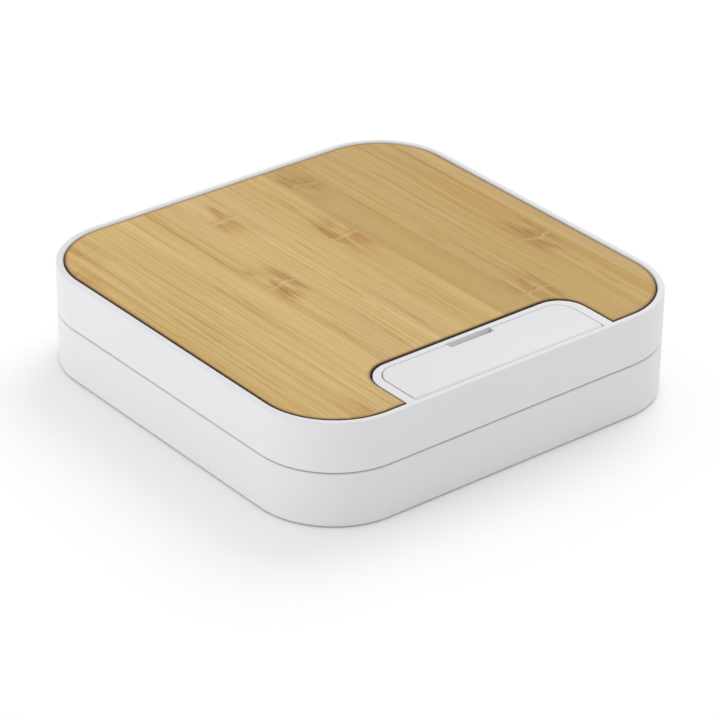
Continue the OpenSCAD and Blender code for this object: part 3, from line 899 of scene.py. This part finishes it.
class PAD_OT_bamboo(Operator):
    """Models the notched bamboo plate with its bevelled, burnt edge"""

    bl_idname = "pad.bamboo"
    bl_label = "Bamboo plate"

    def execute(self, context):
        sizes = context.scene.pad_sizes
        half = WOOD_HIGH.x
        thick = WOOD_HIGH.z - WOOD_LOW.z
        select_none()
        bpy.ops.mesh.primitive_plane_add(size=2 * half, location=(0, 0, WOOD_HIGH.z))
        plate = settle(named("bamboo_plate"))
        side = sizes.notch_width / 2

        # Cut the notch out of the front edge
        open_mesh(plate)
        for point, normal in (((side, 0, 0), (1, 0, 0)), ((-side, 0, 0), (1, 0, 0)),
                              ((0, sizes.notch_back, 0), (0, 1, 0))):
            select_all()
            bpy.ops.mesh.bisect(plane_co=point, plane_no=normal)
        pick(plate, "FACE", lambda f: abs(f.calc_center_median().x) < side
             and f.calc_center_median().y < sizes.notch_back)
        bpy.ops.mesh.delete(type="FACE")
        select_all()
        bpy.ops.mesh.dissolve_limited(angle_limit=math.radians(1))

        # Round the outer corners and the notch's inner corners
        pick(plate, "VERT", lambda v: abs(abs(v.co.x) - half) < 1e-5 and abs(abs(v.co.y) - half) < 1e-5)
        bpy.ops.mesh.bevel(offset=sizes.wood_corner, segments=28, affect="VERTICES", profile=0.5)
        pick(plate, "VERT", lambda v: abs(abs(v.co.x) - side) < 1e-5
             and abs(v.co.y - sizes.notch_back) < 1e-5)
        bpy.ops.mesh.bevel(offset=sizes.notch_corner, segments=16, affect="VERTICES", profile=0.5)

        # Give it thickness, then bevel the top outline
        select_all()
        bpy.ops.mesh.extrude_region_move(TRANSFORM_OT_translate={"value": (0, 0, -thick)})
        select_all()
        bpy.ops.mesh.normals_make_consistent(inside=False)
        pick(plate, "EDGE", lambda e: all(abs(v.co.z - WOOD_HIGH.z) < 1e-6 for v in e.verts))
        bpy.ops.mesh.bevel(offset=sizes.wood_bevel, segments=3, affect="EDGES", profile=0.55)
        close_mesh(plate)
        paint(plate, MATERIALS["bamboo"], MATERIALS["burnt"])
        for face in plate.data.polygons:
            face.material_index = 0 if abs(face.normal.z) > 0.9 else 1
        smooth(plate, 40)
        finish_piece(plate, "lid", "bamboo", "bamboo_top")
        return {"FINISHED"}


class PAD_OT_ledge(Operator):
    """Models the folding ledge with its round front edge and finger recess"""

    bl_idname = "pad.ledge"
    bl_label = "Ledge"

    def execute(self, context):
        sizes = context.scene.pad_sizes
        low, high = LEDGE_LOW, LEDGE_HIGH
        thick = high.z - low.z
        ledge = block("folding_ledge", low, high)
        open_mesh(ledge)
        pick(ledge, "EDGE", lambda e: upright(e) and e.verts[0].co.y > high.y - 1e-5)
        bpy.ops.mesh.bevel(offset=sizes.ledge_corner, segments=12, affect="EDGES")
        pick(ledge, "EDGE", lambda e: not upright(e) and all(v.co.y < low.y + 1e-5 for v in e.verts)
             and abs(e.verts[0].co.z - e.verts[1].co.z) < 1e-6)
        bpy.ops.mesh.bevel(offset=thick / 2 * 0.999, segments=9, affect="EDGES")
        close_mesh(ledge)

        # Finger recess: a scooped pocket that opens to the back edge
        reach = 1.3 * MM
        depth = 1.6 * MM
        half = sizes.finger_width / 2
        scoop = block("scoop", (-half, high.y - reach, high.z - depth),
                      (half, high.y + 2 * MM, high.z + MM))
        round_edges(scoop, lambda e: upright(e) and e.verts[0].co.y < high.y - reach + 1e-5,
                    0.3 * MM, 4)
        carve(ledge, scoop)

        # Seat for the soft pad underneath
        gap = 0.1 * MM
        seat = block("seat", (PAD_LOW.x - gap, PAD_LOW.y - gap, low.z - MM),
                     (PAD_HIGH.x + gap, PAD_HIGH.y + gap, PAD_HIGH.z))
        round_edges(seat, upright, 1.2 * MM, 5)
        carve(ledge, seat)

        # Bore for the spring bar
        bar_low, bar_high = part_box("spring_bar")
        radius = (bar_high.y - bar_low.y) / 2 + 0.03 * MM
        middle = (bar_low + bar_high) / 2
        carve(ledge, drum("bore", middle, radius, bar_high.x - bar_low.x, 32, "X"))
        soften(ledge, sizes.ledge_bevel, 3, 40)
        smooth(ledge, 40)
        paint(ledge, MATERIALS["ledge"])
        finish_piece(ledge, "ledge", "white_plastic", "ledge")

        # The soft pad, with cross grooves
        pad = block("ledge_grip", PAD_LOW, PAD_HIGH)
        round_edges(pad, upright, 1.1 * MM, 5)
        ribs = 5
        pitch = (PAD_HIGH.y - PAD_LOW.y) / ribs
        for k in range(1, ribs):
            y = PAD_LOW.y + pitch * k
            groove = block("groove", (PAD_LOW.x + 1.5 * MM, y - 0.3 * MM, PAD_LOW.z - MM),
                           (PAD_HIGH.x - 1.5 * MM, y + 0.3 * MM, PAD_LOW.z + 0.25 * MM))
            carve(pad, groove)
        soften(pad, 0.1 * MM, 2, 40)
        smooth(pad, 40)
        paint(pad, MATERIALS["silicone"])
        finish_piece(pad, "ledge", "silicone", "ledge_pad")
        return {"FINISHED"}


class PAD_OT_liner(Operator):
    """Models the felt that lines the storage tray"""

    bl_idname = "pad.liner"
    bl_label = "Tray liner"

    def execute(self, context):
        liner = twin_of("tray_liner", "tray_felt")
        low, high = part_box("tray_liner")
        top = high.z
        round_edges(liner, lambda e: all(abs(v.co.z - top) < 1e-6 for v in e.verts)
                    and len(e.link_faces) == 2 and e.calc_face_angle(0) > 0.5, 0.28 * MM, 3)
        smooth(liner, 50)
        paint(liner, MATERIALS["felt"])
        finish_piece(liner, "base", "felt", "tray_liner")
        return {"FINISHED"}


class PAD_OT_feet(Operator):
    """Models the four rubber feet and the two closing bumpers"""

    bl_idname = "pad.feet"
    bl_label = "Feet and bumpers"

    def execute(self, context):
        low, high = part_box("rubber_feet")
        radius = 5 * MM
        place = high.x - radius
        thick = high.z - low.z
        foot = drum("foot", (0, 0, low.z + thick / 2), radius, thick, 56)
        round_edges(foot, lambda e: all(v.co.z < low.z + 1e-6 for v in e.verts), 0.25 * MM, 3)
        open_mesh(foot)
        pick(foot, "FACE", lambda f: f.normal.z < -0.9 and f.calc_center_median().length < 2 * MM)
        bpy.ops.mesh.inset(thickness=0.9 * MM)
        bpy.ops.mesh.inset(thickness=0.15 * MM, depth=-0.18 * MM)
        bpy.ops.mesh.inset(thickness=0.7 * MM)
        bpy.ops.mesh.inset(thickness=0.15 * MM, depth=0.18 * MM)
        close_mesh(foot)
        smooth(foot, 40)
        feet = merge(copies(foot, [(sx * place, sy * place, 0) for sx in (-1, 1) for sy in (-1, 1)]),
                     "soft_feet")
        paint(feet, MATERIALS["silicone"])
        finish_piece(feet, "base", "silicone", "rubber_feet")

        low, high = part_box("bumpers")
        radius = (high.y - low.y) / 2
        centre = (low + high) / 2
        dot = drum("dot", (0, centre.y, centre.z), radius, high.z - low.z, 32)
        soften(dot, 0.15 * MM, 3, 40)
        smooth(dot, 40)
        dots = merge(copies(dot, [(sx * (high.x - radius), 0, 0) for sx in (-1, 1)]), "closing_bumpers")
        paint(dots, MATERIALS["silicone"])
        finish_piece(dots, "base", "silicone", "bumpers")
        return {"FINISHED"}


# Radius of the screws' heads and shanks, how deep the head is, and the pitch of the thread
SCREW_HEAD, SCREW_SHANK, SCREW_HEAD_DEPTH, SCREW_PITCH = 1.9 * MM, 0.85 * MM, 0.9 * MM, 0.4 * MM


def flat_head_screw(low, high):
    """A countersunk screw on the Z axis, head down, with a cross recess and a tapped shank."""
    select_none()
    bpy.ops.mesh.primitive_cone_add(
        vertices=36, radius1=SCREW_HEAD, radius2=SCREW_SHANK, depth=SCREW_HEAD_DEPTH,
        location=(0, 0, low + SCREW_HEAD_DEPTH / 2))
    top = settle(named("screw_head"))
    for turn in (0, math.pi / 2):
        bar = block("bar", (-1.05 * MM, -0.2 * MM, -0.2 * MM), (1.05 * MM, 0.2 * MM, 0.5 * MM))
        bar.rotation_euler = (0, 0, turn + math.pi / 4)
        bar.location = (0, 0, low)
        settle(bar)
        carve(top, bar)
    length = high - low - SCREW_HEAD_DEPTH
    rod = drum("screw_shank", (0, 0, high - length / 2), SCREW_SHANK, length, 24)
    open_mesh(rod)
    pick(rod, "EDGE", upright)
    turns = max(4, int(length / SCREW_PITCH))
    bpy.ops.mesh.subdivide(number_cuts=2 * turns - 1)
    step = length / (2 * turns)
    pick(rod, "VERT", lambda v: round((v.co.z - low - SCREW_HEAD_DEPTH) / step) % 2 == 1)
    bpy.ops.transform.resize(value=(0.80, 0.80, 1.0), center_override=(0, 0, 0))
    close_mesh(rod)
    screw = merge([top, rod], "screw")
    soften(screw, 0.05 * MM, 1, 60)
    return smooth(screw, 40)


class PAD_OT_screws(Operator):
    """Models the screws of both covers and finishes the screws of the parts inside"""

    bl_idname = "pad.screws"
    bl_label = "Screws"

    def execute(self, context):
        for node, body, name in (("base_screws", "base", "bottom_screws"),
                                 ("lid_screws", "lid", "cover_screws")):
            low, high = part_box(node)
            first = flat_head_screw(low.z, high.z)
            spots = [(x, y, 0) for x in (low.x + SCREW_HEAD, high.x - SCREW_HEAD)
                     for y in (low.y + SCREW_HEAD, high.y - SCREW_HEAD)]
            screws = merge(copies(first, spots), name)
            paint(screws, MATERIALS["zinc"])
            finish_piece(screws, body, "zinc_plated", node)
        paint_nodes(zinc=("small_screws",))
        return {"FINISHED"}


class PAD_OT_coil(Operator):
    """Models the wound charging coil with its two leads"""

    bl_idname = "pad.coil"
    bl_label = "Charging coil"

    turns: IntProperty(name="Turns", description="Turns of wire side by side", default=10, min=2)

    def execute(self, context):
        low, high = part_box("charging_coil")
        outer = -low.x
        inner = 10 * MM
        middle_y = (low.y + high.y) / 2
        wire = (outer - inner) / self.turns / 2
        z = high.z - 0.6 * MM

        # The turns: one round section for each, spun a full turn together
        sections = []
        for k in range(self.turns):
            select_none()
            bpy.ops.mesh.primitive_circle_add(
                vertices=12, radius=wire * 0.97, rotation=(math.pi / 2, 0, 0),
                location=(inner + wire * (2 * k + 1), middle_y, z))
            sections.append(settle(named("section")))
        winding = merge(sections, "winding")
        open_mesh(winding)
        select_all()
        bpy.ops.mesh.spin(steps=96, angle=2 * math.pi, center=(0, middle_y, z), axis=(0, 0, 1))
        select_all()
        bpy.ops.mesh.remove_doubles(threshold=1e-6)
        bpy.ops.mesh.normals_make_consistent(inside=False)
        close_mesh(winding)

        # The leads: out to the side, round a bend and down to the board, the last bit in solder
        radius = 0.38 * MM
        bend = 0.9 * MM
        solder = 0.35 * MM
        turn_x = high.x - radius - bend
        rings = [winding]
        for s in (-1, 1):
            y = middle_y + s * 2 * MM
            select_none()
            bpy.ops.mesh.primitive_circle_add(
                vertices=16, radius=radius, fill_type="NGON", rotation=(0, math.pi / 2, 0),
                location=(outer - MM, y, z))
            lead = settle(named("lead"))
            open_mesh(lead)
            select_all()
            bpy.ops.mesh.extrude_region_move(
                TRANSFORM_OT_translate={"value": (turn_x - outer + MM, 0, 0)})
            bpy.ops.mesh.spin(steps=6, angle=-math.pi / 2, center=(turn_x, y, z - bend), axis=(0, 1, 0))
            pick(lead, "FACE", lambda f: f.calc_center_median().z < z - bend * 0.99
                 and abs(f.normal.z) > 0.9)
            bpy.ops.mesh.extrude_region_move(
                TRANSFORM_OT_translate={"value": (0, 0, low.z + solder - z + bend)})
            bpy.ops.mesh.extrude_region_move(TRANSFORM_OT_translate={"value": (0, 0, -solder)})
            select_all()
            bpy.ops.mesh.remove_doubles(threshold=1e-6)
            bpy.ops.mesh.normals_make_consistent(inside=False)
            close_mesh(lead)
            if span_of(lead, 2)[0] > low.z + 1e-5:
                raise RuntimeError("a coil lead doesn't reach the board")
            rings.append(lead)
        coil = merge(rings, "wound_coil")
        smooth(coil, 60)
        paint(coil, MATERIALS["copper"])
        finish_piece(coil, "lid", "copper", "charging_coil")
        return {"FINISHED"}


class PAD_OT_electronics(Operator):
    """Models the parts on the circuit board and finishes the board and its holders"""

    bl_idname = "pad.electronics"
    bl_label = "Electronics"

    def execute(self, context):
        paint_nodes(board=("circuit_board",), ferrite=("ferrite_disc",), holder=("coil_holder",),
                    silicone=("thermal_pad",))

        # Controller: a moulded body with feet along two sides
        low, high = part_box("control_chip")
        chip = block("controller", (low.x + 0.6 * MM, low.y, low.z + 0.08 * MM),
                     (high.x - 0.6 * MM, high.y, high.z))
        soften(chip, 0.12 * MM, 2)
        feet = []
        for x in (low.x, high.x - 0.8 * MM):
            for k in range(6):
                y = low.y + 0.4 * MM + k * (high.y - low.y - 0.8 * MM) / 5
                feet.append(block("foot", (x, y - 0.15 * MM, low.z),
                                  (x + 0.8 * MM, y + 0.15 * MM, low.z + 0.2 * MM)))
        pins = merge(feet, "controller_pins")
        soften(pins, 0.04 * MM, 1)
        paint(chip, MATERIALS["chip"])
        paint(pins, MATERIALS["zinc"])
        chip = merge([chip, pins], "controller")
        smooth(chip, 40)
        finish_piece(chip, "lid", "chip_black", "control_chip")

        # Inductor: a square core with a round window sunk into its top
        low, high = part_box("power_inductor")
        core = block("inductor_core", low, high)
        round_edges(core, upright, 0.9 * MM, 4)
        open_mesh(core)
        pick(core, "FACE", lambda f: f.normal.z > 0.9)
        bpy.ops.mesh.inset(thickness=0.8 * MM)
        bpy.ops.mesh.inset(thickness=0.1 * MM, depth=-0.35 * MM)
        close_mesh(core)
        soften(core, 0.08 * MM, 2)
        smooth(core, 40)
        paint(core, MATERIALS["ferrite"])
        finish_piece(core, "lid", "ferrite", "power_inductor")

        # Capacitors: ceramic bodies with plated ends
        low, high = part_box("capacitors")
        width = 2.5 * MM
        step = (high.y - low.y - width) / 2
        body = block("body", (low.x + 0.45 * MM, low.y, low.z),
                     (high.x - 0.45 * MM, low.y + width, high.z))
        soften(body, 0.08 * MM, 2)
        paint(body, MATERIALS["ceramic"])
        ends = [block("end", (x, low.y, low.z), (x + 0.5 * MM, low.y + width, high.z))
                for x in (low.x, high.x - 0.5 * MM)]
        for end in ends:
            soften(end, 0.08 * MM, 2)
            paint(end, MATERIALS["zinc"])
        one = merge([body] + ends, "capacitor")
        smooth(one, 40)
        bank = merge(copies(one, [(0, k * step, 0) for k in range(3)]), "capacitor_bank")
        finish_piece(bank, "lid", "capacitor", "capacitors")
        return {"FINISHED"}


class PAD_OT_hardware(Operator):
    """Finishes the pins, sleeves, magnets, ballast, spring bar, socket and status light"""

    bl_idname = "pad.hardware"
    bl_label = "Hinge and hardware"

    def execute(self, context):
        paint_nodes(steel=("hinge_pins", "ballast_plate", "spring_bar"), sleeve=("friction_sleeves",),
                    nickel=("base_magnets", "lid_magnets", "charging_socket"),
                    frosted=("status_led", "light_pipe"))
        return {"FINISHED"}


# Camera: azimuth, elevation and roll in degrees, the point it looks at, its distance and its lens.
CAMERA_ANGLES = (-39.18, 29.25, 0.776)
CAMERA_TARGET = (-23.46 * MM, -29.61 * MM)
CAMERA_DISTANCE = 0.67994
CAMERA_LENS = 172.3

# Even light from all round, then each soft light: name, place, size, power in watts.
# A light below the given height isn't mirrored, so its edge doesn't show in the oiled bamboo.
WORLD_LIGHT = 0.86
LOWEST_MIRRORED = 0.5
SOFTBOXES = (
    ("softbox_top", (0.75, 0.30, 0.90), (0.8, 0.8), 4.1),
    ("softbox_left", (-1.12, 0.42, 0.08), (0.7, 0.3), 4.3),
)


class PAD_OT_stage(Operator):
    """Sets a pale floor, soft lights and the camera"""

    bl_idname = "pad.stage"
    bl_label = "Studio"

    def execute(self, context):
        self.floor()
        self.lights(context)
        self.camera(context)
        return {"FINISHED"}

    def floor(self):
        select_none()
        bpy.ops.mesh.primitive_plane_add(size=12, location=(0, 0, FLOOR_Z))
        floor = settle(named("studio_floor"))
        material, s, shader = new_material("studio floor", 0.9)
        cloud = s.noise(s.place(), 0.01, 2.0)
        s.feed(shader["Base Color"], s.mix(cloud, (0.965, 0.965, 0.965), (0.975, 0.975, 0.975)))
        shader["Specular IOR Level"].default_value = 0.1
        paint(floor, material)

    def lights(self, context):
        world = bpy.data.worlds.new("studio")
        context.scene.world = world
        world.use_nodes = True
        background = world.node_tree.nodes["Background"]
        background.inputs["Color"].default_value = (1.0, 1.0, 1.0, 1.0)
        background.inputs["Strength"].default_value = WORLD_LIGHT
        for name, place, size, power in SOFTBOXES:
            data = bpy.data.lights.new(name, "AREA")
            data.shape = "RECTANGLE"
            data.size, data.size_y = size
            data.energy = power
            lamp = bpy.data.objects.new(name, data)
            context.scene.collection.objects.link(lamp)
            lamp.location = place
            lamp.visible_glossy = place[2] > LOWEST_MIRRORED
            aim = Vector((0, 0, 0.012)) - Vector(place)
            lamp.rotation_euler = aim.to_track_quat("-Z", "Y").to_euler()
        context.scene.view_settings.view_transform = "Standard"

    def camera(self, context):
        azimuth, elevation, roll = (math.radians(angle) for angle in CAMERA_ANGLES)
        level = math.cos(elevation)
        back = Vector((math.sin(azimuth) * level, -math.cos(azimuth) * level, math.sin(elevation)))
        target = Vector((*CAMERA_TARGET, WOOD_HIGH.z))
        right = Vector((0, 0, 1)).cross(back).normalized()
        up = back.cross(right)
        turned_right = right * math.cos(roll) + up * math.sin(roll)
        turned_up = up * math.cos(roll) - right * math.sin(roll)
        data = bpy.data.cameras.new("studio_camera")
        data.sensor_width = 36.0
        data.lens = CAMERA_LENS
        data.clip_start, data.clip_end = 0.01, 50.0
        camera = bpy.data.objects.new("studio_camera", data)
        context.scene.collection.objects.link(camera)
        basis = Matrix((turned_right, turned_up, back)).transposed().to_4x4()
        basis.translation = target + back * CAMERA_DISTANCE
        camera.matrix_world = basis
        context.scene.camera = camera


class PAD_PT_sidebar(Panel):
    """Lists the pieces in the order they are made"""

    bl_idname = "PAD_PT_sidebar"
    bl_label = "Charging Pad"
    bl_space_type = "VIEW_3D"
    bl_region_type = "UI"
    bl_category = "Charging Pad"

    def draw(self, context):
        layout = self.layout
        for group in (context.scene.pad_sizes, context.scene.pad_colours):
            box = layout.box()
            for key in group.__annotations__:
                box.prop(group, key)
        column = layout.column(align=True)
        for operator in STEPS:
            column.operator(operator.bl_idname)


STEPS = (PAD_OT_finishes, PAD_OT_shells, PAD_OT_bamboo, PAD_OT_ledge, PAD_OT_liner, PAD_OT_feet,
         PAD_OT_screws, PAD_OT_coil, PAD_OT_electronics, PAD_OT_hardware, PAD_OT_stage)
CLASSES = (PadSizes, PadColours) + STEPS + (PAD_PT_sidebar,)


def register():
    for item in CLASSES:
        bpy.utils.register_class(item)
    bpy.types.Scene.pad_sizes = PointerProperty(type=PadSizes)
    bpy.types.Scene.pad_colours = PointerProperty(type=PadColours)


def unregister():
    del bpy.types.Scene.pad_colours
    del bpy.types.Scene.pad_sizes
    for item in reversed(CLASSES):
        bpy.utils.unregister_class(item)


def main():
    register()
    for step in STEPS:
        category, name = step.bl_idname.split(".")
        getattr(getattr(bpy.ops, category), name)()


if __name__ == "__main__":
    main()
